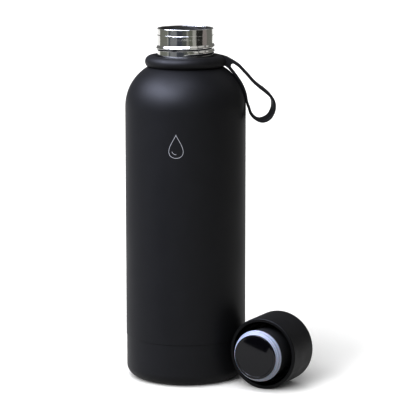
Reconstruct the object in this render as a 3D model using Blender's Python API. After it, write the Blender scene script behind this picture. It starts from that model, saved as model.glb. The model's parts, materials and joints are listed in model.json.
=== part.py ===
"""An insulated steel water bottle with a screw cap, a neck collar and a carry loop.

Metres, +Z up. The origin is where the bottle's axis meets the surface that it stands on.
The bottle is open. Its cap lies on its side on the same surface, in front of the bottle and to the right.
"""

from math import acos, asin, cos, degrees, pi, radians, sin, sqrt

import bmesh
import bpy
from mathutils import Matrix, Vector

GAP = 0.0003

# The bottle's outside
BODY_RADIUS = 0.0365
SHOULDER_Z = 0.1664
SHOULDER_RADIUS = 0.028
SHOULDER_CENTRE = BODY_RADIUS - SHOULDER_RADIUS
SEAM_Z = 0.0262
BASE_CORNER = 0.0070
BASE_INSET = 0.00025
BASE_UNDERSIDE_Z = 0.0005
SHELL_WALL = 0.0006

# The bare neck with its rolled thread
NECK_RADIUS = 0.0170
NECK_WALL = 0.0005
NECK_FOOT_Z = 0.1910
LIP_Z = 0.2140
LIP_ROUND = 0.0006
LIP_DEPTH = 0.0007
THREAD_PITCH = 0.0031
THREAD_WIDTH = 0.0024
THREAD_START = radians(265)
THREAD_SWEEP = radians(500)
THREAD_FADE = radians(40)
NECK_THREAD_Z = 0.1993
NECK_THREAD_HEIGHT = 0.0009

# The inner vessel and the vacuum space round it
LINER_RADIUS = 0.0329
LINER_WALL = 0.0004
LINER_NECK_RADIUS = 0.0162
LINER_FLOOR_Z = 0.0200
LINER_CORNER = 0.0100
LINER_JOINT_Z = 0.0340
FOIL_GAP = 0.00035
FOIL_THICKNESS = 0.0002
FOIL_BOTTOM_Z = 0.040
FOIL_TOP_Z = 0.160

# The closed bottom
SLEEVE_RADIUS = BODY_RADIUS - BASE_INSET - SHELL_WALL - GAP
SLEEVE_FOOT_Z = 0.0136
PLATE_Z = 0.0137
PLATE_RADIUS = 0.0344
PORT_RADIUS = 0.0008
PORT_RECESS_RADIUS = 0.0080
PORT_RECESS_DEPTH = 0.0010
SEAL_RADIUS = 0.0050
GETTER_X = 0.018
GETTER_RADIUS = 0.0040
GETTER_THICKNESS = 0.0016
CLIP_STRIP = 0.0003
CLIP_WIDTH = 0.0030
CLIP_HALF_SPAN = 0.0048
CLIP_FOOT = 0.0030
CUP_FLOOR_Z = 0.0019
PAD_RADIUS = 0.0210
PAD_THICKNESS = 0.0010

# The silicone collar and carry loop. The lug's outline is in points (x, z).
COLLAR_RADIUS = 0.0209
COLLAR_SECTION = 0.0035
COLLAR_Z = 0.1942
COLLAR_DOME_GAP = 0.00035
ROOT_X = 0.0280
ROOT_Z = 0.1918
ROOT_RADIUS = 0.0022
ROOT_WIDTH = 0.0076
ROOT_CLEARANCE = 0.00035
LUG_TOP = [(0.0220, 0.1966), (0.0246, 0.1960), (0.0252, 0.1950)]
LUG_HOOK = [(0.0252, 0.1929), (0.0266, 0.1892), (0.0220, 0.1916)]
STRAP_WIDTH = 0.0070
STRAP_THICKNESS = 0.0015
STRAP_TILT = (-0.25, 0.27)
STRAP_LIE = SHOULDER_RADIUS + GAP + STRAP_THICKNESS / 2 + 0.0001

# The cap, measured along its own axis from the rim: the closed top is at -Z and the plug at +Z
CAP_RADIUS = 0.0216
CAP_LENGTH = 0.0270
CAP_TOP_WALL = 0.0022
CAP_TOP_ROUND = 0.0028
CAP_RIM_ROUND = 0.0007
CAP_BORE = 0.0194
FLANGE_RADIUS = 0.0191
FLANGE_THICKNESS = 0.0012
INSERT_BORE = 0.0182
INSERT_FOOT = -0.0025
INSERT_THREAD_Z = -0.0200
INSERT_THREAD_HEIGHT = -0.0008
INSERT_THREAD_SWEEP = radians(1500)
PLUG_RADIUS = 0.0148
PLUG_SHOULDER = 0.0046
PLUG_NOSE_RADIUS = 0.0126
PLUG_NOSE = 0.0089
PLUG_BORE = 0.0110
GASKET_RADIUS = 0.0157
DISC_RADIUS = 0.0134
DISC_THICKNESS = 0.0012
FOAM_RADIUS = 0.0106
FOAM_TOP = -0.0175

# Where the cap lies
CAP_RIM_X = 0.0461
CAP_RIM_Y = -0.0376
CAP_HEADING = radians(28)

BODY_SEGMENTS = 48
INNER_SEGMENTS = 40
CAP_SEGMENTS = 40
PLUG_SEGMENTS = 32
SMALL_SEGMENTS = 20

BLACK_COATING = ("black_powder_coat", (0.022, 0.022, 0.023), 0.55, 0.0)
BARE_STEEL = ("polished_steel", (0.70, 0.70, 0.69), 0.12, 1.0)
LINER_STEEL = ("liner_steel", (0.50, 0.50, 0.49), 0.35, 1.0)
COPPER = ("copper", (0.72, 0.38, 0.24), 0.30, 1.0)
GETTER_ALLOY = ("getter_alloy", (0.30, 0.30, 0.32), 0.55, 1.0)
SEAL_GLASS = ("seal_glass", (0.16, 0.24, 0.20), 0.15, 0.0)
DARK_RUBBER = ("dark_rubber", (0.020, 0.020, 0.021), 0.75, 0.0)
BLACK_SILICONE = ("black_silicone", (0.028, 0.028, 0.029), 0.62, 0.0)
MATTE_PLASTIC = ("matte_plastic", (0.024, 0.023, 0.025), 0.50, 0.0)
DARK_PLASTIC = ("dark_plastic", (0.012, 0.012, 0.012), 0.40, 0.0)
GLOSS_PLASTIC = ("gloss_plastic", (0.020, 0.020, 0.023), 0.08, 0.0)
PALE_SILICONE = ("pale_silicone", (0.62, 0.66, 0.80), 0.40, 0.0)
FOAM = ("foam", (0.85, 0.84, 0.80), 0.90, 0.0)


def clear_scene():
    for obj in list(bpy.data.objects):
        bpy.data.objects.remove(obj, do_unlink=True)


def material(name, colour, roughness, metallic):
    found = bpy.data.materials.get(name)
    if found:
        return found
    made = bpy.data.materials.new(name)
    made.use_nodes = True
    shader = made.node_tree.nodes["Principled BSDF"]
    shader.inputs["Base Color"].default_value = (*colour, 1.0)
    shader.inputs["Roughness"].default_value = roughness
    shader.inputs["Metallic"].default_value = metallic
    return made


def add_object(name, mesh_builder, finish, parent=None):
    """Turns a bmesh into an object in the scene, with its faces out and its round sides smooth."""
    bmesh.ops.recalc_face_normals(mesh_builder, faces=mesh_builder.faces)
    mesh = bpy.data.meshes.new(name)
    mesh_builder.to_mesh(mesh)
    mesh_builder.free()
    mesh.shade_smooth()
    mesh.set_sharp_from_angle(angle=radians(35))
    obj = bpy.data.objects.new(name, mesh)
    bpy.context.scene.collection.objects.link(obj)
    obj.data.materials.append(material(*finish))
    obj.parent = parent
    return obj


def add_axis(name, matrix, parent=None):
    """An empty that stands on a joint's axis."""
    empty = bpy.data.objects.new(name, None)
    bpy.context.scene.collection.objects.link(empty)
    empty.empty_display_size = 0.01
    empty.parent = parent
    empty.matrix_local = matrix
    return empty


def arc(centre_r, centre_z, radius, start, end, steps):
    """Points (radius, height) on an arc, with its angles in degrees from the outward direction."""
    angles = [radians(start + (end - start) * i / steps) for i in range(steps + 1)]
    return [(centre_r + radius * cos(a), centre_z + radius * sin(a)) for a in angles]


def turned(outline, segments, closed=True):
    """A bmesh of an outline of (radius, height) points spun about Z. An open outline starts and ends on the axis."""
    bm = bmesh.new()
    verts = [bm.verts.new((r, 0.0, z)) for r, z in outline]
    edges = [bm.edges.new(pair) for pair in zip(verts, verts[1:])]
    if closed:
        edges.append(bm.edges.new((verts[-1], verts[0])))
    bmesh.ops.spin(
        bm, geom=verts + edges, cent=(0, 0, 0), axis=(0, 0, 1), angle=2 * pi, steps=segments, use_merge=True
    )
    bmesh.ops.remove_doubles(bm, verts=bm.verts, dist=1e-6)
    return bm


def ridge(angle, z, first_z, sweep, height):
    """How far the helical thread stands off its wall at an angle about Z and a height."""
    found = 0.0
    a = angle % (2 * pi)
    while a < THREAD_START:
        a += 2 * pi
    while a < THREAD_START + sweep:
        centre = first_z + THREAD_PITCH * (a - THREAD_START) / (2 * pi)
        away = abs(z - centre) / (THREAD_WIDTH / 2)
        if away < 1:
            fade = min(1, (a - THREAD_START) / THREAD_FADE, (THREAD_START + sweep - a) / THREAD_FADE)
            found = max(found, fade * (0.5 + 0.5 * cos(pi * away)))
        a += 2 * pi
    return found * height


def roll_thread(bm, wall_radius, first_z, sweep, height):
    """Moves the points of one round wall in or out along the thread."""
    for vert in bm.verts:
        flat = Vector((vert.co.x, vert.co.y, 0))
        if abs(flat.length - wall_radius) < 1e-6:
            angle = Vector((1, 0)).angle_signed(flat.to_2d(), 0)
            vert.co += flat.normalized() * ridge(-angle, vert.co.z, first_z, sweep, height)


def rows(radius, low, high, step):
    """Points up a straight wall, closely enough spaced to take a thread."""
    count = round((high - low) / step)
    return [(radius, low + (high - low) * i / count) for i in range(count + 1)]


def extruded(points, low_y, high_y):
    """A bmesh of a flat outline of (x, z) points, drawn along Y."""
    bm = bmesh.new()
    face = bm.faces.new([bm.verts.new((x, low_y, z)) for x, z in points])
    moved = bmesh.ops.extrude_face_region(bm, geom=[face])["geom"]
    drawn = [item for item in moved if isinstance(item, bmesh.types.BMVert)]
    bmesh.ops.translate(bm, vec=(0, high_y - low_y, 0), verts=drawn)
    return bm


def bar_along_y(x, z, radius, width):
    """A bmesh of a round bar along Y."""
    bm = bmesh.new()
    place = Matrix.Translation((x, 0, z)) @ Matrix.Rotation(pi / 2, 4, "X")
    bmesh.ops.create_cone(
        bm, cap_ends=True, segments=SMALL_SEGMENTS, radius1=radius, radius2=radius, depth=width, matrix=place
    )
    return bm


def combine(obj, name, mesh_builder, operation):
    """Adds a Boolean with a helper that is itself left out of the model."""
    helper = add_object(name, mesh_builder, DARK_RUBBER, obj.parent)
    helper.hide_render = True
    helper.display_type = "WIRE"
    boolean = obj.modifiers.new(name, "BOOLEAN")
    boolean.operation = operation
    boolean.solver = "EXACT"
    boolean.object = helper


def dome_z(radius):
    """Height of the shoulder's outside at a distance from the bottle's axis."""
    return SHOULDER_Z + sqrt(SHOULDER_RADIUS**2 - (radius - SHOULDER_CENTRE) ** 2)


def shoulder_arc(radius, end_r, steps, downward=False):
    """The shoulder's arc at a radius about its centre, from the side up to where it reaches end_r."""
    end = degrees(acos((end_r - SHOULDER_CENTRE) / radius))
    points = arc(SHOULDER_CENTRE, SHOULDER_Z, radius, 0, end, steps)
    return points[::-1] if downward else points


def make_outer_shell():
    hole = NECK_RADIUS + GAP
    step_z = SEAM_Z + GAP
    outline = [(SLEEVE_RADIUS, SLEEVE_FOOT_Z), (SLEEVE_RADIUS, step_z), (BODY_RADIUS, step_z)]
    outline += shoulder_arc(SHOULDER_RADIUS, hole, 9)
    outline += shoulder_arc(SHOULDER_RADIUS - SHELL_WALL, hole, 9, downward=True)
    outline += [(BODY_RADIUS - SHELL_WALL, step_z + 2 * SHELL_WALL), (SLEEVE_RADIUS - SHELL_WALL, step_z)]
    outline.append((SLEEVE_RADIUS - SHELL_WALL, SLEEVE_FOOT_Z))
    return add_object("outer_shell", turned(outline, BODY_SEGMENTS), BLACK_COATING)


def make_threaded_neck():
    bore = NECK_RADIUS - NECK_WALL
    lip_bore = LINER_NECK_RADIUS - LINER_WALL
    outline = [(NECK_RADIUS, NECK_FOOT_Z)]
    outline += rows(NECK_RADIUS, NECK_THREAD_Z - THREAD_WIDTH, NECK_THREAD_Z + 2.4 * THREAD_PITCH, 0.0006)
    outline += arc(NECK_RADIUS - LIP_ROUND, LIP_Z - LIP_ROUND, LIP_ROUND, 0, 90, 3)
    outline += [(lip_bore, LIP_Z - LIP_ROUND / 2), (lip_bore, LIP_Z - LIP_DEPTH), (bore, LIP_Z - LIP_DEPTH)]
    outline.append((bore, NECK_FOOT_Z))
    bm = turned(outline, BODY_SEGMENTS)
    roll_thread(bm, NECK_RADIUS, NECK_THREAD_Z, THREAD_SWEEP, NECK_THREAD_HEIGHT)
    return add_object("threaded_neck", bm, BARE_STEEL)


def make_inner_vessel():
    top = LIP_Z - LIP_DEPTH - GAP
    arc_radius = LINER_RADIUS - SHOULDER_CENTRE
    bore = LINER_NECK_RADIUS - LINER_WALL
    outline = [(LINER_RADIUS, LINER_JOINT_Z)] + shoulder_arc(arc_radius, LINER_NECK_RADIUS, 7)
    outline += [(LINER_NECK_RADIUS, top), (bore, top)]
    outline += shoulder_arc(arc_radius - LINER_WALL, bore, 7, downward=True)
    outline.append((LINER_RADIUS - LINER_WALL, LINER_JOINT_Z))
    return add_object("inner_vessel", turned(outline, INNER_SEGMENTS), LINER_STEEL)


def make_inner_bottom():
    corner_r = LINER_RADIUS - LINER_CORNER
    corner_z = LINER_FLOOR_Z + LINER_CORNER
    top = LINER_JOINT_Z - GAP
    outline = [(0, LINER_FLOOR_Z)] + arc(corner_r, corner_z, LINER_CORNER, -90, 0, 5)
    outline += [(LINER_RADIUS, top), (LINER_RADIUS - LINER_WALL, top)]
    outline += arc(corner_r, corner_z, LINER_CORNER - LINER_WALL, 0, -90, 5)
    outline.append((0, LINER_FLOOR_Z + LINER_WALL))
    return add_object("inner_bottom", turned(outline, INNER_SEGMENTS, closed=False), LINER_STEEL)


def make_copper_foil():
    inside = LINER_RADIUS + FOIL_GAP
    outside = inside + FOIL_THICKNESS
    outline = [(inside, FOIL_BOTTOM_Z), (outside, FOIL_BOTTOM_Z), (outside, FOIL_TOP_Z), (inside, FOIL_TOP_Z)]
    return add_object("copper_foil", turned(outline, INNER_SEGMENTS), COPPER)


def make_bottom_plate():
    wall = SHELL_WALL
    top = PLATE_Z + 0.0035
    recess = PORT_RECESS_RADIUS
    raised = PLATE_Z + PORT_RECESS_DEPTH
    outline = [(PLATE_RADIUS, top), (PLATE_RADIUS, PLATE_Z + wall), (PLATE_RADIUS - wall, PLATE_Z)]
    outline += [(recess + PORT_RECESS_DEPTH, PLATE_Z), (recess, raised), (PORT_RADIUS, raised)]
    outline += [(PORT_RADIUS, raised + wall), (recess - wall / 2, raised + wall)]
    outline += [(recess + PORT_RECESS_DEPTH - wall / 2, PLATE_Z + wall)]
    outline += [(PLATE_RADIUS - 2 * wall, PLATE_Z + wall), (PLATE_RADIUS - wall, PLATE_Z + 2 * wall)]
    outline.append((PLATE_RADIUS - wall, top))
    return add_object("bottom_plate", turned(outline, INNER_SEGMENTS), LINER_STEEL)


def make_vacuum_seal():
    top = PLATE_Z + PORT_RECESS_DEPTH - GAP
    outline = [(0, top - 0.0012), (0.6 * SEAL_RADIUS, top - 0.0012), (SEAL_RADIUS, top - 0.0006)]
    outline += [(SEAL_RADIUS, top), (0, top)]
    return add_object("vacuum_seal", turned(outline, SMALL_SEGMENTS, closed=False), SEAL_GLASS)


def make_getter():
    low = PLATE_Z + SHELL_WALL + GAP
    edge = 0.0003
    outline = [(0, low), (GETTER_RADIUS - edge, low), (GETTER_RADIUS, low + edge)]
    outline += [(GETTER_RADIUS, low + GETTER_THICKNESS - edge), (GETTER_RADIUS - edge, low + GETTER_THICKNESS)]
    outline.append((0, low + GETTER_THICKNESS))
    pill = add_object("getter", turned(outline, SMALL_SEGMENTS, closed=False), GETTER_ALLOY)
    pill.location.x = GETTER_X
    return pill


def make_getter_clip():
    """A spring strip that bridges the getter and has a foot on each side of it."""
    low = PLATE_Z + SHELL_WALL + GAP
    under = low + GETTER_THICKNESS + GAP
    half = CLIP_HALF_SPAN
    right = [(half, under), (half, low), (half + CLIP_FOOT, low), (half + CLIP_FOOT, low + CLIP_STRIP)]
    right += [(half + CLIP_STRIP, low + CLIP_STRIP), (half + CLIP_STRIP, under + CLIP_STRIP)]
    outline = right + [(-x, z) for x, z in reversed(right)]
    clip = add_object("getter_clip", extruded(outline, -CLIP_WIDTH / 2, CLIP_WIDTH / 2), LINER_STEEL)
    clip.location.x = GETTER_X
    clip.rotation_euler.z = pi / 2
    return clip


def make_base_cup():
    radius = BODY_RADIUS - BASE_INSET
    corner_r = radius - BASE_CORNER
    corner_z = BASE_UNDERSIDE_Z + BASE_CORNER
    inner = BASE_CORNER - SHELL_WALL
    recess_z = PAD_THICKNESS + GAP
    turn = -degrees(asin((corner_z - CUP_FLOOR_Z) / inner))
    outline = [(0, recess_z), (PAD_RADIUS + GAP, recess_z), (PAD_RADIUS + GAP, BASE_UNDERSIDE_Z)]
    outline += arc(corner_r, corner_z, BASE_CORNER, -90, 0, 8)
    outline += [(radius, SEAM_Z), (radius - SHELL_WALL, SEAM_Z)]
    outline += arc(corner_r, corner_z, inner, 0, turn, 5)
    outline.append((0, CUP_FLOOR_Z))
    return add_object("base_cup", turned(outline, BODY_SEGMENTS, closed=False), BLACK_COATING)


def make_base_pad():
    edge = 0.0004
    outline = [(0, 0), (PAD_RADIUS - edge, 0), (PAD_RADIUS, edge), (PAD_RADIUS, PAD_THICKNESS), (0, PAD_THICKNESS)]
    return add_object("base_pad", turned(outline, INNER_SEGMENTS, closed=False), DARK_RUBBER)


def make_strap_collar():
    """A round ring on the neck's foot, hollowed below to sit on the shoulder, with a lug that the loop hangs from."""
    outline = arc(COLLAR_RADIUS, COLLAR_Z, COLLAR_SECTION, 180, -35, 9)
    inside = COLLAR_RADIUS - COLLAR_SECTION
    outside = outline[-1][0]
    steps = 3
    for i in range(steps + 1):
        radius = outside + (inside - outside) * i / steps
        outline.append((radius, dome_z(radius) + COLLAR_DOME_GAP))
    collar = add_object("strap_collar", turned(outline, BODY_SEGMENTS), BLACK_SILICONE)
    combine(collar, "lug", extruded(LUG_TOP + LUG_HOOK, -ROOT_WIDTH / 2, ROOT_WIDTH / 2), "UNION")
    socket = bar_along_y(ROOT_X, ROOT_Z, ROOT_RADIUS + ROOT_CLEARANCE, 2 * ROOT_WIDTH)
    combine(collar, "lug_socket", socket, "DIFFERENCE")
    return collar


def strap_route():
    """Points (x, z) that the middle of the loop's band passes through: down from the lug, round, and up the shoulder."""
    down = [(0.0276, 0.1932), (0.0300, 0.1926), (0.0322, 0.1912), (0.0373, 0.1859), (0.0416, 0.1811)]
    turn = [(0.0470, 0.1768), (0.0507, 0.1736), (0.0527, 0.1702), (0.0532, 0.1666), (0.0523, 0.1628)]
    back = [(0.0496, 0.1596), (0.0460, 0.1582), (0.0426, 0.1589), (0.0400, 0.1614), (0.0387, 0.1652)]
    shoulder = arc(SHOULDER_CENTRE, SHOULDER_Z, STRAP_LIE, 8, 34, 2)
    root = [(0.0301, 0.1864), (0.0288, 0.1886), (0.0277, 0.1907)]
    return down + turn + back + shoulder + root


def smooth(points, per_span):
    """A Catmull-Rom curve through the points, as positions and unit directions."""
    knots = [Vector(p) for p in points]
    knots = [2 * knots[0] - knots[1]] + knots + [2 * knots[-1] - knots[-2]]
    found = []
    for i in range(1, len(knots) - 2):
        before, a, b, after = knots[i - 1 : i + 3]
        last = i == len(knots) - 3
        for k in range(per_span + last):
            t = k / per_span
            bend = 2 * before - 5 * a + 4 * b - after
            twist = -before + 3 * a - 3 * b + after
            place = a + 0.5 * (t * (b - before) + t**2 * bend + t**3 * twist)
            heading = 0.5 * ((b - before) + 2 * t * bend + 3 * t**2 * twist)
            found.append((place, heading.normalized()))
    return found


def band_tilt(place):
    """How far the band leans, from none near the collar and on the bottle's side to all of it out at the bend."""
    out = (place.x - 0.040) / 0.008
    return min(max(out, 0.0), 1.0)


def make_strap_loop():
    """A flat band whose two ends join in a round root in the collar's lug."""
    bm = bmesh.new()
    rings = []
    for place, heading in smooth(strap_route(), 3):
        tilt = band_tilt(place)
        across = Vector((STRAP_TILT[0] * tilt, 1, STRAP_TILT[1] * tilt)).normalized() * STRAP_WIDTH / 2
        along = Vector((heading.x, 0, heading.y))
        through = along.cross(across).normalized() * STRAP_THICKNESS / 2
        middle = Vector((place.x, 0, place.y))
        corners = [across + through, across - through, -across - through, through - across]
        rings.append([bm.verts.new(middle + corner) for corner in corners])
    for near, far in zip(rings, rings[1:]):
        for i in range(4):
            bm.faces.new((near[i], near[i - 1], far[i - 1], far[i]))
    bm.faces.new(rings[0])
    bm.faces.new(reversed(rings[-1]))
    bmesh.ops.translate(bm, vec=(-ROOT_X, 0, -ROOT_Z), verts=bm.verts)
    axis = add_axis("strap_lift_axis", Matrix.Translation((ROOT_X, 0, ROOT_Z)))
    loop = add_object("strap_loop", bm, BLACK_SILICONE, axis)
    combine(loop, "loop_root", bar_along_y(0, 0, ROOT_RADIUS, ROOT_WIDTH), "UNION")
    return loop


def cap_axes():
    """Empties on the axis that the cap tips up about and on the cap's own axis, with +Z from its top to its plug."""
    heading = Vector((-sin(CAP_HEADING), -cos(CAP_HEADING), 0))
    rim = Vector((CAP_RIM_X, CAP_RIM_Y, CAP_RADIUS))
    top_edge = rim - CAP_LENGTH * heading
    top_edge.z = 0
    tip = add_axis("cap_tip_axis", Matrix.Translation(top_edge))
    side = Vector((0, 0, 1)).cross(heading)
    turn = Matrix((side, heading.cross(side), heading)).transposed().to_4x4()
    return tip, add_axis("cap_turn_axis", Matrix.Translation(rim - top_edge) @ turn, tip)


def make_cap_shell(axis):
    top = -CAP_LENGTH
    ceiling = top + CAP_TOP_WALL
    outline = [(0, top)]
    outline += arc(CAP_RADIUS - CAP_TOP_ROUND, top + CAP_TOP_ROUND, CAP_TOP_ROUND, -90, 0, 4)
    outline += arc(CAP_RADIUS - CAP_RIM_ROUND, -CAP_RIM_ROUND, CAP_RIM_ROUND, 0, 90, 2)
    outline += [(CAP_BORE + 0.0003, 0), (CAP_BORE, -0.0004), (CAP_BORE, ceiling), (0, ceiling)]
    return add_object("cap_shell", turned(outline, CAP_SEGMENTS, closed=False), MATTE_PLASTIC, axis)


def make_stopper_plug(axis):
    top = -CAP_LENGTH + CAP_TOP_WALL + GAP
    under = top + FLANGE_THICKNESS
    edge = 0.0004
    outline = [(PLUG_BORE, top), (FLANGE_RADIUS, top), (FLANGE_RADIUS, under), (PLUG_RADIUS, under)]
    outline += [(PLUG_RADIUS, PLUG_SHOULDER - edge), (PLUG_RADIUS - edge, PLUG_SHOULDER)]
    outline += [(PLUG_NOSE_RADIUS, PLUG_SHOULDER), (PLUG_NOSE_RADIUS, PLUG_NOSE), (PLUG_BORE, PLUG_NOSE)]
    return add_object("stopper_plug", turned(outline, PLUG_SEGMENTS), DARK_PLASTIC, axis)


def make_thread_insert(axis):
    top = -CAP_LENGTH + CAP_TOP_WALL + GAP + FLANGE_THICKNESS + GAP
    outline = [(FLANGE_RADIUS, top), (FLANGE_RADIUS, INSERT_FOOT)] + rows(INSERT_BORE, top, INSERT_FOOT, 0.0008)[::-1]
    bm = turned(outline, CAP_SEGMENTS)
    roll_thread(bm, INSERT_BORE, INSERT_THREAD_Z, INSERT_THREAD_SWEEP, INSERT_THREAD_HEIGHT)
    return add_object("thread_insert", bm, DARK_PLASTIC, axis)


def make_plug_gasket(axis):
    """A soft ring round the plug's nose, widest at its shoulder and drawn in towards the end disc."""
    inside = PLUG_NOSE_RADIUS + GAP
    low = PLUG_SHOULDER + GAP
    outline = [(inside, low), (GASKET_RADIUS - 0.0005, low), (GASKET_RADIUS, low + 0.0005)]
    outline += [(GASKET_RADIUS, low + 0.0011), (GASKET_RADIUS - 0.0004, low + 0.0021)]
    outline += [(GASKET_RADIUS - 0.0012, low + 0.0032), (GASKET_RADIUS - 0.0021, PLUG_NOSE), (inside, PLUG_NOSE)]
    return add_object("plug_gasket", turned(outline, PLUG_SEGMENTS), PALE_SILICONE, axis)


def make_plug_end_disc(axis):
    low = PLUG_NOSE + GAP
    high = low + DISC_THICKNESS
    edge = 0.0004
    outline = [(0, low), (DISC_RADIUS - edge, low), (DISC_RADIUS, low + edge), (DISC_RADIUS, high - edge)]
    outline += [(DISC_RADIUS - edge, high), (0, high)]
    return add_object("plug_end_disc", turned(outline, PLUG_SEGMENTS, closed=False), GLOSS_PLASTIC, axis)


def make_foam_core(tip_axis, turn_axis):
    """Insulation in the hollow plug. It hangs on the tipping axis only, because it doesn't turn with the cap."""
    foot = PLUG_NOSE - GAP
    outline = [(0, FOAM_TOP), (FOAM_RADIUS, FOAM_TOP), (FOAM_RADIUS, foot), (0, foot)]
    core = add_object("foam_core", turned(outline, SMALL_SEGMENTS, closed=False), FOAM, tip_axis)
    core.location = turn_axis.location
    core.rotation_euler = turn_axis.rotation_euler
    return core


def make_bottle():
    make_outer_shell()
    make_threaded_neck()
    make_inner_vessel()
    make_inner_bottom()
    make_copper_foil()
    make_bottom_plate()
    make_vacuum_seal()
    make_getter()
    make_getter_clip()
    make_base_cup()
    make_base_pad()


def make_cap():
    tip_axis, turn_axis = cap_axes()
    make_cap_shell(turn_axis)
    make_stopper_plug(turn_axis)
    make_thread_insert(turn_axis)
    make_plug_gasket(turn_axis)
    make_plug_end_disc(turn_axis)
    make_foam_core(tip_axis, turn_axis)


clear_scene()
make_bottle()
make_strap_collar()
make_strap_loop()
make_cap()
bpy.context.view_layer.update()
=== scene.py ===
"""The looks of an insulated steel water bottle that stands open, with its screw cap lying in front of it.

Metres, +Z up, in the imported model's frame. Fine meshes stand for the CAD solids, each with its own procedural
material. The sealed pieces keep their CAD shapes. The floor is pale, and the light is that of a soft studio.
"""

import json
from math import acos, asin, cos, degrees, hypot, pi, radians, sin, sqrt, tan

import bmesh
import bpy
import numpy as np
from mathutils import Matrix, Vector


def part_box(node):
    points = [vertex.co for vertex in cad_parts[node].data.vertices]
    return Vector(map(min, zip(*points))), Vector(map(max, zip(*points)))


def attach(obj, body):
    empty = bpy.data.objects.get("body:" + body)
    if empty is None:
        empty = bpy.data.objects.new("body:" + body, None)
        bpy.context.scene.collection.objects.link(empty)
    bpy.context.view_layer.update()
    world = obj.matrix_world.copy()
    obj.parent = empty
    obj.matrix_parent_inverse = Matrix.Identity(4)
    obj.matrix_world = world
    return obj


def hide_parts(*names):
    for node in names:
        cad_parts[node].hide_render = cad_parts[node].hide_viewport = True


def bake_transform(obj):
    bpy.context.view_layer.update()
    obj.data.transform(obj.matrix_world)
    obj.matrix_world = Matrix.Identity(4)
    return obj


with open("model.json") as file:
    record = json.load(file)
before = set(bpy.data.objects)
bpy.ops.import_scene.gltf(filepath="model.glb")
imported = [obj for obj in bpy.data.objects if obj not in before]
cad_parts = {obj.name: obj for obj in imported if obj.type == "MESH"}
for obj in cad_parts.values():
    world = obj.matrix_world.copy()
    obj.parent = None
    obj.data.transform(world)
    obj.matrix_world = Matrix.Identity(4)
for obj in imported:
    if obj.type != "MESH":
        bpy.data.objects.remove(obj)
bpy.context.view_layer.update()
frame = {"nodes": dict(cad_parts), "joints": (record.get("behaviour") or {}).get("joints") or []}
JOINTS = {joint["name"]: joint for joint in frame["joints"]}

MM = 0.001
GAP = 0.3 * MM
SAME_RADIUS = 1e-7

# The bottle's outside, as the CAD solids have it
BODY_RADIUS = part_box("outer_shell")[1].x
SHOULDER_RADIUS = 28.0 * MM
SHOULDER_CENTRE = BODY_RADIUS - SHOULDER_RADIUS
SHOULDER_Z = 166.4 * MM
SEAM_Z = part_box("base_cup")[1].z
CUP_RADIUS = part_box("base_cup")[1].x
CUP_FOOT_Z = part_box("base_cup")[0].z
CUP_CORNER = 7.0 * MM
SEAM_GROOVE = 0.05 * MM
PAD_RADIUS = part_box("base_pad")[1].x
PAD_TOP_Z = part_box("base_pad")[1].z
SHELL_WALL = 0.6 * MM
SLEEVE_FOOT_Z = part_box("outer_shell")[0].z

# The neck and the inner vessel
NECK_RADIUS = 17.0 * MM
NECK_BORE = 16.5 * MM
NECK_FOOT_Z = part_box("threaded_neck")[0].z
LIP_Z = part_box("threaded_neck")[1].z
LINER_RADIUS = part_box("inner_vessel")[1].x
LINER_NECK_RADIUS = 16.2 * MM
LINER_WALL = 0.4 * MM
LINER_TOP_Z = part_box("inner_vessel")[1].z
LINER_JOINT_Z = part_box("inner_vessel")[0].z
LINER_FLOOR_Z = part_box("inner_bottom")[0].z
LINER_CORNER = 10.0 * MM

# The rolled threads. Each swells its wall by height, and fades out over below and above its middle line
THREAD_PITCH = 3.1 * MM
THREAD_START = radians(265)
THREAD_FADE = radians(40)
NECK_THREAD = {
    "first_z": 199.3 * MM,
    "sweep": radians(500),
    "height": 0.7 * MM,
    "below": 1.5 * MM,
    "above": 2.1 * MM,
}
INSERT_THREAD = {
    "first_z": -20.0 * MM,
    "sweep": radians(1500),
    "height": -0.8 * MM,
    "below": 1.2 * MM,
    "above": 1.2 * MM,
}
# The shallow bead on the neck above its thread
NECK_BEAD = {"middle_z": 209.7 * MM, "below": 3.4 * MM, "above": 0.5 * MM, "height": 0.12 * MM}

# The mark engraved on the front: the place of its middle, and the thin line that it is drawn with
MARK_TURN = radians(-98.4)
MARK_Z = 146.8 * MM
MARK_LINE = 0.42 * MM
MARK_RISE = 0.03 * MM
MARK_SINK = 0.05 * MM

# The silicone collar and loop
COLLAR_GAP = 0.35 * MM
STRAP_WIDTH = 7.0 * MM
STRAP_THICKNESS = 1.5 * MM
STRAP_VOXEL = 0.255 * MM
STRAP_SOFTENING = 5
# How the band leans over towards its bend: from where in x, over what length, and its slopes in X and Z
LEAN_FROM_X = 40 * MM
LEAN_LENGTH = 8 * MM
LEAN_SLOPES = (-0.25, 0.27)

# The cap, along its own axis from its rim: the closed top is at -Z and the plug at +Z
CAP_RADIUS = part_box("cap_shell")[1].z / 2
CAP_LENGTH = 27.0 * MM
CAP_BORE = 19.4 * MM
CAP_CEILING = -24.8 * MM
FLANGE_RADIUS = 19.1 * MM
FLANGE_TOP = -24.5 * MM
FLANGE_FOOT = -23.3 * MM
INSERT_BORE = 18.2 * MM
INSERT_FOOT = -2.5 * MM
PLUG_RADIUS = 14.8 * MM
PLUG_SHOULDER = 4.6 * MM
PLUG_NOSE_RADIUS = 12.6 * MM
PLUG_NOSE = 8.9 * MM
PLUG_BORE = 11.0 * MM
DISC_RADIUS = 13.4 * MM
DISC_TOP = PLUG_NOSE + GAP + 1.2 * MM

# The camera, its lens and sensor in millimetres and its tilt in degrees below level
CAMERA_PLACE = (0.0136, -1.2709, 0.3222)
CAMERA_TILT = 9.748
CAMERA_LENS = 182.8
CAMERA_SENSOR = 36
CAMERA_CLIP = (0.05, 50)

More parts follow.
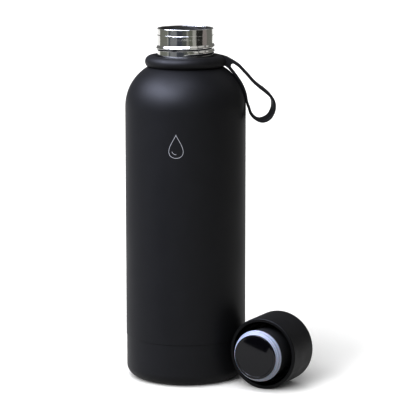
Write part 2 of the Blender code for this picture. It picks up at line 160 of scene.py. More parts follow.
# The studio. Azimuths are in degrees, 0 at the camera's side and 90 on its right
FLOOR_RADIUS = 8.0
STUDIO_MIDDLE = Vector((0.02, -0.01, 0.10))
STUDIO_GAMMA = 0.7
WORLD_LIGHT = 0.35
COOL = (0.90, 0.94, 1.12)
GREY_LIGHT = (1.0, 0.99, 0.96)
# Square panels of light for the object: azimuth, elevation, width, radiance, colour
SOFTBOX_DISTANCE = 1.5
SOFTBOXES = [
    (-60, 40, 0.66, 23.0, COOL),
    (-30, 40, 0.66, 14.5, COOL),
    (-90, 40, 0.66, 12.5, COOL),
    (0, 66, 0.54, 6.0, COOL),
    (-90, 14, 0.66, 5.2, COOL),
    (-30, 66, 0.54, 5.2, COOL),
    (0, 40, 0.66, 3.4, COOL),
    (-90, 66, 0.54, 3.2, COOL),
    (36, 42, 0.66, 0.6, GREY_LIGHT),
    (75, 42, 0.66, 0.45, GREY_LIGHT),
    (115, 42, 0.66, 0.6, GREY_LIGHT),
]
# Even light for the floor: azimuth, elevation, spread, radiance
FLOOR_SUNS = [
    (-60, 60, 50, 0.36),
    (-45, 30, 40, 0.21),
    (0, 30, 40, 0.17),
    (-30, 15, 20, 0.15),
    (180, 50, 60, 0.13),
    (0, 60, 50, 0.09),
]
# Upright cards that only reflections show: from azimuth, to azimuth, colour
CARD_DISTANCE = 0.9
CARD_HEIGHT = 0.55
CARD_STEP = 5
CARDS = [
    (-125, -80, (0.36, 0.37, 0.33)),
    (-80, -72, (0.55, 0.56, 0.54)),
    (-72, -62, (0.20, 0.22, 0.23)),
    (-62, -35, (0.42, 0.43, 0.45)),
    (-35, -12, (0.15, 0.16, 0.19)),
    (-12, 5, (0.21, 0.22, 0.21)),
    (5, 13, (0.48, 0.48, 0.45)),
    (13, 29, (0.29, 0.30, 0.26)),
    (29, 46, (0.62, 0.62, 0.59)),
    (46, 74, (0.07, 0.07, 0.065)),
    (74, 97, (0.48, 0.44, 0.43)),
    (97, 140, (0.34, 0.34, 0.32)),
]

# A black flag low over the floor, which the plug's end disc mirrors: azimuth and distance of each corner
FLAG_FROM = Vector((0.0412, -0.0468, 0.002))
FLAG_CORNERS = [(-45, 0.115), (-62, 0.21), (-64, 1.0), (-42, 1.0)]

# How finely round pieces are turned
BODY_SEGMENTS = 256
SMALL_SEGMENTS = 192
NECK_SEGMENTS = 512

# A fillet's tangent points lie at most this share of the way along the sides that it joins
FILLET_SHARE = 0.45
# How much further out than the tangent points a fillet's outer points lie
FILLET_MARGIN = 1.1
# Rounds a count of steps up, but not for a run that is longer by a hair
ROUND_UP = 0.999

# The width in metres of one band of Blender's wave texture at scale 1
WAVE_BAND = 0.314
# The part of a noise's range that its values mostly fill
NOISE_SPAN = (0.3, 0.7)


# ---------------------------------------------------------------- meshes


def mesh_object(name, points, faces, sharp_angle=40):
    """A smooth-shaded object in the scene, made of points and of faces that list them."""
    mesh = bpy.data.meshes.new(name)
    mesh.from_pydata([tuple(p) for p in points], [], faces)
    mesh.validate()
    obj = bpy.data.objects.new(name, mesh)
    bpy.context.scene.collection.objects.link(obj)
    face_outward(mesh)
    mesh.shade_smooth()
    mesh.set_sharp_from_angle(angle=radians(sharp_angle))
    return obj


def face_outward(mesh):
    """Turns every face's normal to the outside."""
    builder = bmesh.new()
    builder.from_mesh(mesh)
    bmesh.ops.recalc_face_normals(builder, faces=builder.faces)
    builder.to_mesh(mesh)
    builder.free()


def arc(centre, radius, start, end, steps):
    """Points on an arc about a centre (r, z), with its angles in degrees from the outward direction."""
    angles = [radians(start + (end - start) * i / steps) for i in range(steps + 1)]
    return [(centre[0] + radius * cos(a), centre[1] + radius * sin(a)) for a in angles]


def fillet(before, corner, after, radius, steps):
    """Points that round one corner of an outline, and one more on each side that keeps the flats flat."""
    corner = Vector(corner)
    to_before, to_after = Vector(before) - corner, Vector(after) - corner
    half = to_before.angle(to_after) / 2
    most = FILLET_SHARE * min(to_before.length, to_after.length)
    reach = min(radius / tan(half), most)
    radius = reach * tan(half)
    a, b = to_before.normalized(), to_after.normalized()
    centre = corner + (a + b).normalized() * radius / sin(half)
    first, last = corner + a * reach - centre, corner + b * reach - centre
    swing = first.angle_signed(last)
    rounded_corner = [centre + Matrix.Rotation(-swing * i / steps, 2) @ first for i in range(steps + 1)]
    outer = corner + a * reach * FILLET_MARGIN, corner + b * reach * FILLET_MARGIN
    return [tuple(p) for p in (outer[0], *rounded_corner, outer[1])]


def rounded(corners, closed=True, steps=5):
    """An outline from corners (r, z) or (r, z, fillet radius)."""
    found = []
    count = len(corners)
    for i, corner in enumerate(corners):
        at_end = not closed and i in (0, count - 1)
        if len(corner) == 2 or at_end:
            found.append(tuple(corner[:2]))
            continue
        before, after = corners[i - 1][:2], corners[(i + 1) % count][:2]
        found += fillet(before, corner[:2], after, corner[2], steps)
    return found


def subdivided(outline, longest):
    """The same outline with more points on its long straight runs."""
    found = [outline[0]]
    for (r, z), (next_r, next_z) in zip(outline, outline[1:]):
        dr, dz = next_r - r, next_z - z
        count = max(1, int(hypot(dr, dz) / longest + ROUND_UP))
        found += [(r + dr * k / count, z + dz * k / count) for k in range(1, count + 1)]
    return found


def turned(name, outline, segments=BODY_SEGMENTS, closed=True, swell=None):
    """An outline of (r, z) points turned about Z. An open outline starts and ends on the axis.

    swell(angles, r, z) gives how far the points of one ring move away from the axis.
    """
    angles = np.linspace(0, 2 * pi, segments, endpoint=False)
    points, rings, faces = [], [], []
    for r, z in outline:
        if r < SAME_RADIUS:
            rings.append([len(points)])
            points.append((0.0, 0.0, z))
            continue
        out = np.full(segments, r)
        if swell:
            out = out + swell(angles, r, z)
        rings.append(list(range(len(points), len(points) + segments)))
        points += zip(out * np.cos(angles), out * np.sin(angles), [z] * segments)
    pairs = list(zip(rings, rings[1:]))
    if closed:
        pairs.append((rings[-1], rings[0]))
    for low, high in pairs:
        for k in range(segments):
            n = (k + 1) % segments
            corners = [low[k % len(low)], low[n % len(low)], high[n % len(high)], high[k % len(high)]]
            faces.append(list(dict.fromkeys(corners)))
    return mesh_object(name, points, faces)


def thread_ridge(angle, z, first_z, sweep, height, below, above):
    """How far a helical thread stands off its wall at an angle about Z and a height."""
    found = np.zeros_like(angle)
    turns = int((THREAD_START + sweep) / (2 * pi)) + 1
    for turn in range(turns):
        a = angle + 2 * pi * turn
        inside = (a >= THREAD_START) & (a <= THREAD_START + sweep)
        centre = first_z + THREAD_PITCH * (a - THREAD_START) / (2 * pi)
        away = np.minimum(abs(z - centre) / np.where(z < centre, below, above), 1)
        fade = np.minimum(1, np.minimum(a - THREAD_START, THREAD_START + sweep - a) / THREAD_FADE)
        found = np.maximum(found, np.where(inside, fade * (0.5 + 0.5 * np.cos(pi * away)), 0))
    return found * height


def smooth_path(points, spacing):
    """A Catmull-Rom curve through points, as an array of positions about spacing apart."""
    knots = np.array(points, float)
    knots = np.vstack([2 * knots[0] - knots[1], knots, 2 * knots[-1] - knots[-2]])
    found = []
    for before, a, b, after in zip(knots, knots[1:], knots[2:], knots[3:]):
        count = max(2, int(np.linalg.norm(b - a) / spacing))
        t = np.arange(count)[:, None] / count
        bend = 2 * before - 5 * a + 4 * b - after
        twist = -before + 3 * a - 3 * b + after
        found.append(a + 0.5 * (t * (b - before) + t**2 * bend + t**3 * twist))
    return np.vstack([*found, knots[-2]])


# ---------------------------------------------------------------- materials


class Finish:
    """A Principled material with helpers that vary its colour, roughness and surface over the object."""

    def __init__(self, name, colour, roughness, **sockets):
        self.material = bpy.data.materials.new(name)
        self.material.use_nodes = True
        self.nodes = self.material.node_tree.nodes
        self.links = self.material.node_tree.links
        self.shader = self.nodes["Principled BSDF"]
        self.place = self.nodes.new("ShaderNodeTexCoord").outputs["Object"]
        self.colour = colour
        self.set("Base Color", (*colour, 1.0))
        self.set("Roughness", roughness)
        for socket, value in sockets.items():
            self.set(socket.replace("_", " ").title().replace("Ior", "IOR"), value)
        self.height = None

    def set(self, socket, value):
        self.shader.inputs[socket].default_value = value

    def join(self, source, node, socket):
        self.links.new(source, node.inputs[socket])

    def stretched(self, scale):
        """Object coordinates multiplied along X, Y and Z."""
        mapping = self.nodes.new("ShaderNodeMapping")
        mapping.inputs["Scale"].default_value = scale
        self.join(self.place, mapping, "Vector")
        return mapping.outputs["Vector"]

    def height_along_z(self):
        node = self.nodes.new("ShaderNodeSeparateXYZ")
        self.join(self.place, node, "Vector")
        return node.outputs["Z"]

    def noise(self, grain, detail=2.0, stretch=(1, 1, 1)):
        """A noise from 0 to 1 whose features are about grain metres across."""
        node = self.nodes.new("ShaderNodeTexNoise")
        node.inputs["Scale"].default_value = 1.0
        node.inputs["Detail"].default_value = detail
        self.join(self.stretched([s / grain for s in stretch]), node, "Vector")
        return node.outputs["Fac"]

    def specks(self, spacing, share):
        """1 inside small specks about spacing apart, 0 elsewhere. share is their radius over the spacing."""
        node = self.nodes.new("ShaderNodeTexVoronoi")
        node.inputs["Scale"].default_value = 1 / spacing
        self.join(self.place, node, "Vector")
        return self.mapped(node.outputs["Distance"], (share, share * 0.6), (0, 1))

    def rings(self, spacing, waver=0.0):
        """Fine turning lines round Z, in bands of height."""
        node = self.nodes.new("ShaderNodeTexWave")
        node.bands_direction = "Z"
        node.inputs["Scale"].default_value = WAVE_BAND / spacing
        node.inputs["Distortion"].default_value = waver
        self.join(self.place, node, "Vector")
        return node.outputs["Fac"]

    def mapped(self, factor, low_high, out):
        """factor stretched from one range to another, and held inside it."""
        node = self.nodes.new("ShaderNodeMapRange")
        node.inputs["From Min"].default_value, node.inputs["From Max"].default_value = low_high
        node.inputs["To Min"].default_value, node.inputs["To Max"].default_value = out
        self.join(factor, node, "Value")
        return node.outputs["Result"]

    def tint(self, factor, other):
        """Mixes another colour in where factor is 1."""
        node = self.nodes.new("ShaderNodeMix")
        node.data_type = "RGBA"
        socket = self.shader.inputs["Base Color"]
        if socket.is_linked:
            self.links.new(socket.links[0].from_socket, node.inputs["A"])
        else:
            node.inputs["A"].default_value = (*self.colour, 1.0)
        node.inputs["B"].default_value = (*other, 1.0)
        self.join(factor, node, "Factor")
        self.links.new(node.outputs["Result"], socket)

    def vary_roughness(self, factor, low, high):
        self.links.new(self.mapped(factor, NOISE_SPAN, (low, high)), self.shader.inputs["Roughness"])

    def bump(self, height, depth):
        """Adds a relief of that depth in metres over the ones before it."""
        node = self.nodes.new("ShaderNodeBump")
        node.inputs["Distance"].default_value = depth
        self.join(height, node, "Height")
        if self.height:
            self.links.new(self.height, node.inputs["Normal"])
        self.height = node.outputs["Normal"]
        self.links.new(self.height, self.shader.inputs["Normal"])


def powder_coat():
    """Fine-grained matte black coating with faint handling marks."""
    look = Finish("powder_coat_black", (0.0086, 0.0086, 0.0092), 0.47, specular_ior_level=0.28)
    look.vary_roughness(look.noise(35 * MM, 3), 0.44, 0.50)
    look.tint(look.mapped(look.noise(12 * MM, 4), (0.45, 0.75), (0, 0.35)), (0.0118, 0.0118, 0.0127))
    look.tint(look.specks(4.5 * MM, 0.022), (0.05, 0.05, 0.05))
    look.bump(look.noise(0.5 * MM, 2), 0.012 * MM)
    return look.material


def bare_steel():
    """Mirror-polished stainless steel with faint turning lines, and fine upright streaks in its colour that are
    partly polishing marks and partly painted reflection.
    """
    look = Finish("polished_steel", (0.66, 0.66, 0.645), 0.07, metallic=1.0)
    look.vary_roughness(look.noise(6 * MM, 3, (1, 1, 5)), 0.05, 0.11)
    # Darker upright streaks in the colour: partly the polish's own marks, partly painted reflection of the
    # studio
    look.tint(look.mapped(look.noise(4 * MM, 4, (1, 1, 0.3)), (0.5, 0.8), (0, 0.5)), (0.50, 0.50, 0.48))
    look.bump(look.noise(4 * MM, 2, (1, 1, 0.4)), 0.09 * MM)
    look.bump(look.rings(0.25 * MM, 2.0), 0.0015 * MM)
    return look.material


def engraved_steel():
    """Steel laid bare by a laser: light grey and dull."""
    look = Finish("engraved_steel", (0.42, 0.42, 0.42), 0.45, metallic=0.9)
    look.vary_roughness(look.noise(0.6 * MM, 2), 0.38, 0.55)
    look.bump(look.noise(0.15 * MM, 2), 0.008 * MM)
    return look.material


def liner_steel():
    """Electropolished inner steel: dull, with drawing lines round it and slight waves."""
    look = Finish("liner_steel", (0.30, 0.295, 0.285), 0.32, metallic=1.0)
    look.vary_roughness(look.noise(4 * MM, 4, (1, 1, 3)), 0.26, 0.40)
    look.tint(look.mapped(look.noise(15 * MM, 4), (0.4, 0.7), (0, 0.5)), (0.22, 0.21, 0.20))
    look.bump(look.rings(0.6 * MM, 3.0), 0.006 * MM)
    return look.material


def silicone():
    """Soft black silicone: dull, a little dusty, with a fine moulded skin."""
    look = Finish("silicone_black", (0.0070, 0.0068, 0.0072), 0.48, specular_ior_level=0.36)
    look.vary_roughness(look.noise(8 * MM, 3), 0.46, 0.60)
    look.tint(look.mapped(look.noise(3 * MM, 4), (0.5, 0.8), (0, 0.5)), (0.013, 0.0125, 0.013))
    look.tint(look.specks(1.6 * MM, 0.035), (0.10, 0.097, 0.094))
    look.bump(look.noise(0.35 * MM, 3), 0.01 * MM)
    return look.material


def cap_plastic():
    """Soft-touch matte plastic, darker inside the cap's rim."""
    look = Finish("soft_touch_plastic", (0.0088, 0.0086, 0.0092), 0.48, specular_ior_level=0.31)
    look.vary_roughness(look.noise(10 * MM, 3), 0.44, 0.53)
    look.tint(look.mapped(look.noise(6 * MM, 4), (0.45, 0.75), (0, 0.4)), (0.0118, 0.0115, 0.0123))
    look.tint(look.mapped(look.height_along_z(), (-1.0 * MM, -0.5 * MM), (0, 1)), (0.001, 0.001, 0.001))
    look.bump(look.noise(0.4 * MM, 2), 0.01 * MM)
    return look.material


def inner_plastic():
    """Dark moulded plastic inside the cap."""
    look = Finish("moulded_plastic", (0.030, 0.030, 0.030), 0.45, specular_ior_level=0.4)
    look.vary_roughness(look.noise(4 * MM, 3), 0.38, 0.55)
    look.bump(look.noise(0.6 * MM, 2), 0.012 * MM)
    return look.material


def pale_silicone():
    """Milky silicone of the plug's gasket, faintly blue, with fine lines round it."""
    look = Finish("silicone_pale", (0.235, 0.25, 0.285), 0.42, subsurface_weight=0.2, subsurface_scale=1.5 * MM)
    look.vary_roughness(look.noise(3 * MM, 3), 0.36, 0.50)
    look.tint(look.mapped(look.rings(0.8 * MM, 0.6), (0.55, 1.0), (0, 0.6)), (0.13, 0.14, 0.17))
    look.bump(look.rings(0.8 * MM, 0.4), 0.03 * MM)
    return look.material


def gloss_plastic():
    """Polished black plastic of the plug's end, with hairline scratches."""
    look = Finish("gloss_plastic", (0.003, 0.003, 0.004), 0.07, specular_ior_level=0.58)
    look.vary_roughness(look.noise(5 * MM, 4), 0.05, 0.10)
    look.bump(look.noise(2.5 * MM, 3, (1, 0.12, 1)), 0.004 * MM)
    return look.material


def rubber():
    look = Finish("rubber_black", (0.016, 0.016, 0.016), 0.75, specular_ior_level=0.35)
    look.vary_roughness(look.noise(4 * MM, 3), 0.68, 0.84)
    look.tint(look.specks(1.2 * MM, 0.05), (0.05, 0.05, 0.048))
    look.bump(look.noise(0.4 * MM, 3), 0.03 * MM)
    return look.material


def copper_foil():
    """Thin foil with the creases of wrapping."""
    look = Finish("copper_foil", (0.86, 0.45, 0.30), 0.22, metallic=1.0)
    look.vary_roughness(look.noise(6 * MM, 4), 0.15, 0.34)
    look.bump(look.noise(9 * MM, 5, (1, 1, 0.5)), 0.3 * MM)
    return look.material


def getter_alloy():
    look = Finish("getter_alloy", (0.16, 0.16, 0.17), 0.7, metallic=0.6)
    look.tint(look.noise(0.8 * MM, 4), (0.26, 0.26, 0.27))
    look.bump(look.noise(0.4 * MM, 4), 0.06 * MM)
    return look.material


def seal_glass():
    look = Finish("seal_glass", (0.05, 0.11, 0.08), 0.12, specular_ior_level=0.6)
    look.vary_roughness(look.noise(1 * MM, 3), 0.08, 0.25)
    look.bump(look.noise(1.5 * MM, 2), 0.05 * MM)
    return look.material


def foam():
    look = Finish("foam_white", (0.82, 0.81, 0.77), 0.92)
    look.tint(look.specks(0.8 * MM, 0.30), (0.62, 0.61, 0.57))
    look.bump(look.noise(0.7 * MM, 3), 0.15 * MM)
    return look.material


def floor_white():
    look = Finish("floor_white", (0.90, 0.90, 0.90), 0.9, specular_ior_level=0.1)
    look.vary_roughness(look.noise(80 * MM, 2), 0.86, 0.94)
    return look.material


# ---------------------------------------------------------------- pieces of the bottle


def show(obj, body, slot, material, *nodes):
    """Gives a finished piece its material and its CAD body, and hides the CAD nodes that it stands for. slot is
    not used.
    """
    obj.data.materials.clear()
    obj.data.materials.append(material)
    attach(obj, body)
    if nodes:
        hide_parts(*nodes)


def dome_z(radius):
    """The height of the shoulder's outside at a distance from the axis."""
    return SHOULDER_Z + sqrt(SHOULDER_RADIUS**2 - (radius - SHOULDER_CENTRE) ** 2)


def shoulder(radius, end_r, steps, downward=False):
    """The shoulder's arc at a radius about its centre, from the side up to where it reaches end_r."""
    end = degrees(acos((end_r - SHOULDER_CENTRE) / radius))
    points = arc((SHOULDER_CENTRE, SHOULDER_Z), radius, 0, end, steps)
    return points[::-1] if downward else points


def make_outer_shell(coat):
    """The body above the seam, with the sleeve that reaches down into the base cup."""
    hole = NECK_RADIUS + GAP
    foot_z = SEAM_Z + SEAM_GROOVE
    sleeve = CUP_RADIUS - SHELL_WALL - GAP
    sleeve_bore = sleeve - SHELL_WALL
    # A point on the straight side, which only aims the fillet below it
    side = (BODY_RADIUS, 100 * MM)
    foot = [(sleeve, SLEEVE_FOOT_Z), (sleeve, foot_z, 0.05 * MM), (BODY_RADIUS, foot_z, 0.12 * MM)]
    lower = rounded([*foot, side], closed=False)[:-1]
    outline = subdivided(lower + shoulder(SHOULDER_RADIUS, hole, 60), 4 * MM)
    outline += shoulder(SHOULDER_RADIUS - SHELL_WALL, hole, 30, downward=True)
    outline += [(BODY_RADIUS - SHELL_WALL, foot_z + 2 * SHELL_WALL)]
    outline += [(sleeve_bore, foot_z), (sleeve_bore, SLEEVE_FOOT_Z)]
    show(turned("body_shell", outline), "bottle", "black_powder_coat", coat, "outer_shell")


def make_base_cup(coat):
    """The cup below the seam, with a recess for the pad in its underside."""
    corner = (CUP_RADIUS - CUP_CORNER, CUP_FOOT_Z + CUP_CORNER)
    bore = CUP_RADIUS - SHELL_WALL
    inner = CUP_CORNER - SHELL_WALL
    recess = PAD_RADIUS + GAP
    recess_z = PAD_TOP_Z + GAP
    floor_z = 1.9 * MM
    turn = -degrees(asin((corner[1] - floor_z) / inner))
    recess_edge = [(recess, recess_z, 0.15 * MM), (recess, CUP_FOOT_Z, 0.2 * MM)]
    outline = rounded([(0, recess_z), *recess_edge, (corner[0], CUP_FOOT_Z)], closed=False)
    outline += arc(corner, CUP_CORNER, -90, 0, 40)[1:]
    rim = [(CUP_RADIUS, SEAM_Z, 0.06 * MM), (bore, SEAM_Z, 0.06 * MM)]
    outline += rounded([(CUP_RADIUS, corner[1]), *rim, (bore, corner[1])], closed=False)[1:-1]
    outline += arc(corner, inner, 0, turn, 16) + [(0, floor_z)]
    cup = turned("base_cup_skin", outline, closed=False)
    show(cup, "bottle", "black_powder_coat", coat, "base_cup")


def make_base_pad(material):
    """A rubber disc with two moulded rings in its underside."""
    outline = [(0, 0.0)]
    for ring in (7.0 * MM, 14.0 * MM):
        outline += arc((ring, 0), 0.5 * MM, 180, 0, 8)
    edge = [(PAD_RADIUS, 0, 0.4 * MM), (PAD_RADIUS, PAD_TOP_Z, 0.15 * MM)]
    outline += rounded([(ring, 0), *edge, (0, PAD_TOP_Z)], closed=False)[1:]
    pad = turned("base_pad_skin", outline, SMALL_SEGMENTS, closed=False)
    show(pad, "bottle", "dark_rubber", material, "base_pad")


def neck_swell(angles, r, z):
    """The neck's rolled thread, and the shallow bead above it."""
    if abs(r - NECK_RADIUS) > SAME_RADIUS:
        return 0.0
    rise = z - NECK_BEAD["middle_z"]
    away = min(abs(rise) / NECK_BEAD["below" if rise < 0 else "above"], 1)
    bead = NECK_BEAD["height"] * (0.5 + 0.5 * cos(pi * away))
    return thread_ridge(angles, z, **NECK_THREAD) + bead


def make_neck(steel):
    """The bare neck: a rolled thread on its wall and a thin lip curled in over the liner."""
    relief_top = NECK_BEAD["middle_z"] + NECK_BEAD["above"]
    relief_foot = NECK_THREAD["first_z"] - NECK_THREAD["below"]
    lip_round = 0.5 * MM
    curl = 0.25 * MM
    lip_bore = LINER_NECK_RADIUS - LINER_WALL
    lip_foot_z = LIP_Z - 0.7 * MM
    outline = [(NECK_RADIUS, NECK_FOOT_Z)]
    outline += subdivided([(NECK_RADIUS, relief_foot), (NECK_RADIUS, relief_top)], 0.1 * MM)
    outline += subdivided([(NECK_RADIUS, relief_top), (NECK_RADIUS, LIP_Z - lip_round)], 1 * MM)[1:-1]
    outline += arc((NECK_RADIUS - lip_round, LIP_Z - lip_round), lip_round, 0, 100, 12)
    outline += arc((lip_bore + curl, LIP_Z - 0.4 * MM), curl, 100, 200, 8)
    outline += [(lip_bore + 0.05 * MM, lip_foot_z), (NECK_BORE, lip_foot_z), (NECK_BORE, NECK_FOOT_Z)]
    neck = turned("steel_neck", outline, NECK_SEGMENTS, swell=neck_swell)
    show(neck, "bottle", "polished_steel", steel, "threaded_neck")


def make_liner(steel):
    """The inner vessel in its two pressed parts."""
    bore = LINER_NECK_RADIUS - LINER_WALL
    # A point in the neck, which only aims the last fillet
    in_bore = (bore, 190 * MM)
    radius = LINER_RADIUS - SHOULDER_CENTRE
    side = subdivided([(LINER_RADIUS, LINER_JOINT_Z), (LINER_RADIUS, SHOULDER_Z)], 6 * MM)
    outline = side + shoulder(radius, LINER_NECK_RADIUS, 40)[1:]
    outline += rounded([(LINER_NECK_RADIUS, LINER_TOP_Z), (bore, LINER_TOP_Z), in_bore], closed=False)[:-1]
    outline += shoulder(radius - LINER_WALL, bore, 40, downward=True)
    outline += [(LINER_RADIUS - LINER_WALL, z) for _, z in reversed(side)][1:]
    vessel = turned("liner_vessel", outline, SMALL_SEGMENTS)
    show(vessel, "bottle", "liner_steel", steel, "inner_vessel")
    centre = (LINER_RADIUS - LINER_CORNER, LINER_FLOOR_Z + LINER_CORNER)
    top = LINER_JOINT_Z - GAP
    outline = [(0, LINER_FLOOR_Z)] + arc(centre, LINER_CORNER, -90, 0, 24)
    outline += [(LINER_RADIUS, top), (LINER_RADIUS - LINER_WALL, top)]
    outline += arc(centre, LINER_CORNER - LINER_WALL, 0, -90, 24) + [(0, LINER_FLOOR_Z + LINER_WALL)]
    bottom = turned("liner_bottom", outline, SMALL_SEGMENTS, closed=False)
    show(bottom, "bottle", "liner_steel", steel, "inner_bottom")


def drop_outline(width, height, count):
    """A water drop's outline, pointed at the top, as (sideways, upward) offsets from its middle."""
    t = np.linspace(0, 2 * pi, count, endpoint=False)
    fullness, taper = 1.30, 1.6
    sideways = width / 2 * fullness * np.sin(t) * np.sin(t / 2) ** taper
    return np.stack([sideways, height / 2 * np.cos(t)], axis=-1)


def engraved_line(name, line, closed):
    """A thin line on the bottle's side, through (sideways, upward) points about the mark's middle."""
    count = len(line)
    ahead, behind = np.roll(line, -1, axis=0), np.roll(line, 1, axis=0)
    if not closed:
        ahead[-1], behind[0] = line[-1], line[0]
    along = ahead - behind
    along /= np.linalg.norm(along, axis=1, keepdims=True)
    side = np.stack([-along[:, 1], along[:, 0]], axis=-1) * MARK_LINE / 2
    top, foot = BODY_RADIUS + MARK_RISE, BODY_RADIUS - MARK_SINK
    points = []
    for offset, radius in ((side, top), (-side, top), (-side, foot), (side, foot)):
        place = line + offset
        angle = MARK_TURN + place[:, 0] / BODY_RADIUS
        points += zip(radius * np.cos(angle), radius * np.sin(angle), MARK_Z + place[:, 1])
    faces = []
    for i in range(count if closed else count - 1):
        n = (i + 1) % count
        for k in range(4):
            edge, next_edge = k * count, (k + 1) % 4 * count
            faces.append((i + edge, n + edge, n + next_edge, i + next_edge))
    if not closed:
        faces += [tuple(k * count for k in range(4)), tuple(k * count + count - 1 for k in (3, 2, 1, 0))]
    return mesh_object(name, points, faces, sharp_angle=30)


def make_mark(steel):
    """A plain water drop engraved in thin lines, with a short glint line inside."""
    drop = engraved_line("drop_mark", drop_outline(9.6 * MM, 14 * MM, 96), closed=True)
    show(drop, "bottle", "polished_steel", steel)
    glint = engraved_line("drop_glint", np.array(arc((0, -2.2 * MM), 2.6 * MM, 200, 275, 16)), closed=False)
    show(glint, "bottle", "polished_steel", steel)


# ---------------------------------------------------------------- the collar and its loop


def collar_outline():
    """The ring's section: a round bead, a foot that follows the shoulder, and a wall along the neck."""
    bead = arc((20.6 * MM, 193.7 * MM), 3.8 * MM, 150, -48, 44)
    outside, middle, inside = 22.7 * MM, 21.0 * MM, 17.5 * MM
    foot_edge = (outside, dome_z(outside) + GAP, 0.3 * MM)
    foot = rounded([bead[-1], foot_edge, (middle, dome_z(middle) + COLLAR_GAP)], closed=False)
    under = [(r, dome_z(r) + COLLAR_GAP) for r in (19.5 * MM, 18.5 * MM)]
    wall = [(inside, dome_z(inside) + COLLAR_GAP, 0.3 * MM), (inside, 195.3 * MM, 0.5 * MM)]
    return bead + foot[1:] + rounded([*under, *wall, bead[0]], closed=False)[:-1]


def strap_route():
    """Points (x, z) along the band's middle: out of the collar's tab, round, and up the shoulder.

    They are listed in millimetres and returned in metres.
    """
    root = [(25.6, 195.0), (29.0, 193.4), (32.2, 191.25), (34.0, 189.4)]
    down = [(37.3, 185.9), (40.5, 182.2), (44.4, 178.7), (47.6, 176.3)]
    bend = [(51.1, 173.1), (52.8, 170.2), (53.25, 167.0), (52.7, 163.8), (50.9, 160.5), (48.3, 158.6)]
    back = [(45.4, 158.0), (42.7, 158.9), (40.7, 160.6), (39.3, 162.6), (38.5, 165.2)]
    hugging_radius = 28.82
    on_shoulder = arc((SHOULDER_CENTRE / MM, SHOULDER_Z / MM), hugging_radius, 6, 38, 5)
    end = [(29.35, 186.75), (27.75, 188.75), (25.6, 191.0)]
    return np.array(root + down + bend + back + on_shoulder + end) * MM


def band_section():
    """A rounded rectangle of (across, through) points."""
    half_width, half_depth, corner = STRAP_WIDTH / 2, STRAP_THICKNESS / 2, 0.5 * MM
    found = []
    for sx, sz, start in ((1, 1, 0), (-1, 1, 90), (-1, -1, 180), (1, -1, 270)):
        found += arc((sx * (half_width - corner), sz * (half_depth - corner)), corner, start, start + 90, 4)
    return found


def make_band():
    """The loop's band, swept along its route. It leans over towards its bend, and hugs the shoulder below."""
    line = smooth_path(strap_route(), 0.6 * MM)
    heading = np.gradient(line, axis=0)
    section = band_section()
    points = []
    for (x, z), (dx, dz) in zip(line, heading):
        lean = min(max((x - LEAN_FROM_X) / LEAN_LENGTH, 0), 1)
        lean = lean * lean * (3 - 2 * lean)
        across = Vector((LEAN_SLOPES[0] * lean, 1, LEAN_SLOPES[1] * lean)).normalized()
        through = Vector((dx, 0, dz)).cross(across).normalized()
        on_shoulder = hypot(x - SHOULDER_CENTRE, z - SHOULDER_Z) < SHOULDER_RADIUS + 1.6 * MM
        hug = 1 / (2 * x) if on_shoulder else 0
        drop = Vector((SHOULDER_CENTRE - x, 0, SHOULDER_Z - z)).normalized() * hug
        points += [Vector((x, 0, z)) + across * a + through * t + drop * a * a for a, t in section]
    size = len(section)
    faces = [tuple(range(size)), tuple(range(len(points) - 1, len(points) - size - 1, -1))]
    for ring in range(0, len(points) - size, size):
        for k in range(size):
            n = (k + 1) % size
            faces.append((ring + k, ring + n, ring + size + n, ring + size + k))
    return mesh_object("band", points, faces)


def make_tab():
    """The tab between the ring and the loop's slot. Its outline holds (x, z) points in millimetres."""
    top = [(21.6, 197.55), (24.9, 196.55), (27.2, 195.3), (29.2, 194.2)]
    slot = [(29.0, 192.8), (27.6, 192.2), (27.25, 190.8), (27.7, 189.6), (28.6, 188.6)]
    under = [(27.7, 188.15), (25.4, 190.15), (23.3, 191.6), (21.6, 192.5)]
    outline = top + slot + under
    half = STRAP_WIDTH / 2
    count = len(outline)
    points = [(x * MM, y, z * MM) for y in (-half, half) for x, z in outline]
    faces = [tuple(range(count)), tuple(range(2 * count - 1, count - 1, -1))]
    faces += [(k, (k + 1) % count, (k + 1) % count + count, k + count) for k in range(count)]
    return mesh_object("tab", points, faces)


def moulded_together(name, pieces, voxel, rounds):
    """One closed skin round several overlapping pieces, with its edges softened as on a moulding."""
    bpy.ops.object.select_all(action="DESELECT")
    for piece in pieces:
        piece.select_set(True)
    bpy.context.view_layer.objects.active = pieces[0]
    bpy.ops.object.join()
    joined = bpy.context.view_layer.objects.active
    joined.name = joined.data.name = name
    remesh = joined.modifiers.new("skin", "REMESH")
    remesh.mode = "VOXEL"
    remesh.voxel_size = voxel
    relax = joined.modifiers.new("soften", "SMOOTH")
    relax.factor = 0.5
    relax.iterations = rounds
    for modifier in (remesh, relax):
        bpy.ops.object.modifier_apply(modifier=modifier.name)
    joined.data.shade_smooth()
    return joined


def make_collar_and_loop(material):
    """One silicone moulding, in one still skin from the ring through the tab to the loop."""
    ring = turned("ring", collar_outline())
    pieces = [ring, make_tab(), make_band()]
    strap = moulded_together("collar_and_loop", pieces, STRAP_VOXEL, STRAP_SOFTENING)
    strap.data.materials.clear()
    strap.data.materials.append(material)
    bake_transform(strap)
    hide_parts("strap_collar", "strap_loop")


# ---------------------------------------------------------------- the cap


def cap_matrix():
    """The cap's own frame at rest: its origin in the rim's plane, +Z towards the plug and +Y up."""
    joint = JOINTS["cap_turn"]
    heading = Vector(joint["axis"]).normalized()
    side = Vector((0, 0, 1)).cross(heading)
    turn = Matrix((side, heading.cross(side), heading)).transposed().to_4x4()
    return Matrix.Translation(joint["pos_m"]) @ turn


def show_in_cap(obj, body, slot, material, *nodes):
    """Moves a piece from the cap's own frame to its place at rest, and finishes it."""
    obj.matrix_world = cap_matrix()
    show(obj, body, slot, material, *nodes)


